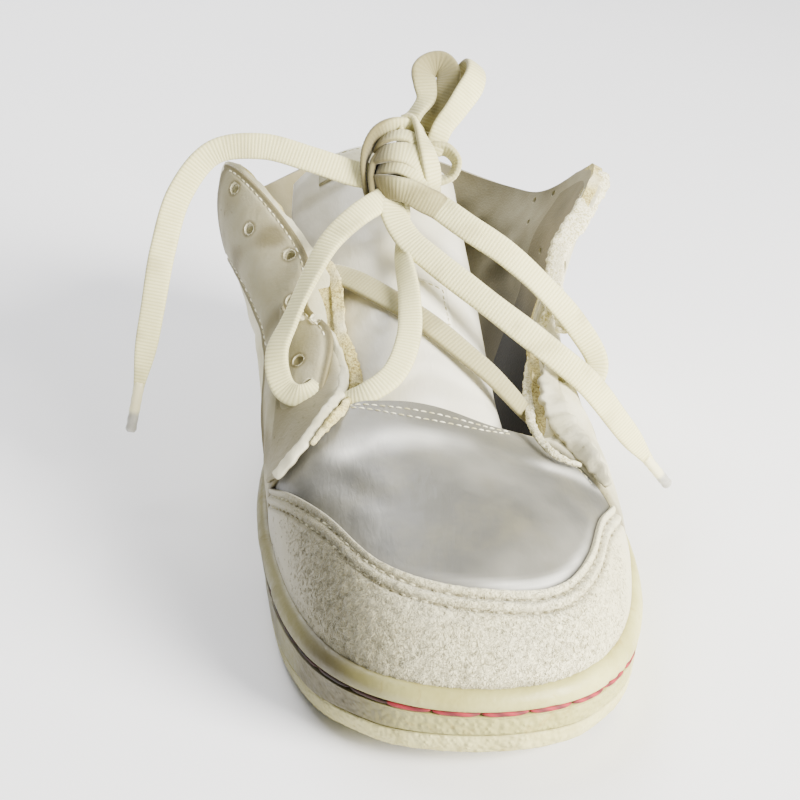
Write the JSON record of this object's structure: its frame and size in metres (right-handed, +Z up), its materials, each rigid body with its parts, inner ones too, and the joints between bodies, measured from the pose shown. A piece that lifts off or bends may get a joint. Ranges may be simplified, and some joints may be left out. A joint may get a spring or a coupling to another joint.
{
  "type": "sneaker",
  "caption": "Worn low court sneaker for the right foot, with a cup sole, suede toe cap, padded tongue and loosely tied laces, standing empty on its sole",
  "frame": {"origin": "the middle of the heel's flat spot under the sole, on the floor", "axes": "toe toward -Y, heel toward +Y, +X is the medial side of this right shoe, +Z up"},
  "size_m": [0.1911, 0.3027, 0.1508],
  "materials": {
    "cream_rubber": "worn cream rubber tread, dirty in its grooves",
    "yellowed_rubber": "satin white rubber, yellowed and scuffed, with a stitch groove",
    "grey_satin": "smooth grey satin over foam, creased",
    "hairy_suede": "off-white suede with long fuzzy nap",
    "white_leather": "off-white leather, creased and dirty at its folds",
    "grey_lining": "taupe textile lining, worn",
    "ivory_lace": "ivory flat tubular lace, ribbed and soiled",
    "grey_tip": "thin translucent plastic tip, dulled"
  },
  "bodies": {
    "root": {"outsole": "cream_rubber", "midsole": "yellowed_rubber", "insole": "grey_lining", "upper": "white_leather", "toe_cap": "hairy_suede", "eyestay_lateral": "white_leather", "eyestay_medial": "white_leather", "heel_counter": "white_leather", "tongue": "grey_satin", "tongue_label": "white_leather", "tongue_patch": "white_leather", "lace_crossing": "ivory_lace", "lace_knot": "ivory_lace", "lace_loop_left": "ivory_lace", "lace_loop_right": "ivory_lace", "lace_run_lateral": "ivory_lace", "lace_run_medial": "ivory_lace", "lace_end_lateral": "ivory_lace", "lace_end_medial": "ivory_lace", "aglet_lateral": "grey_tip", "aglet_medial": "grey_tip"}
  },
  "joints": []
}
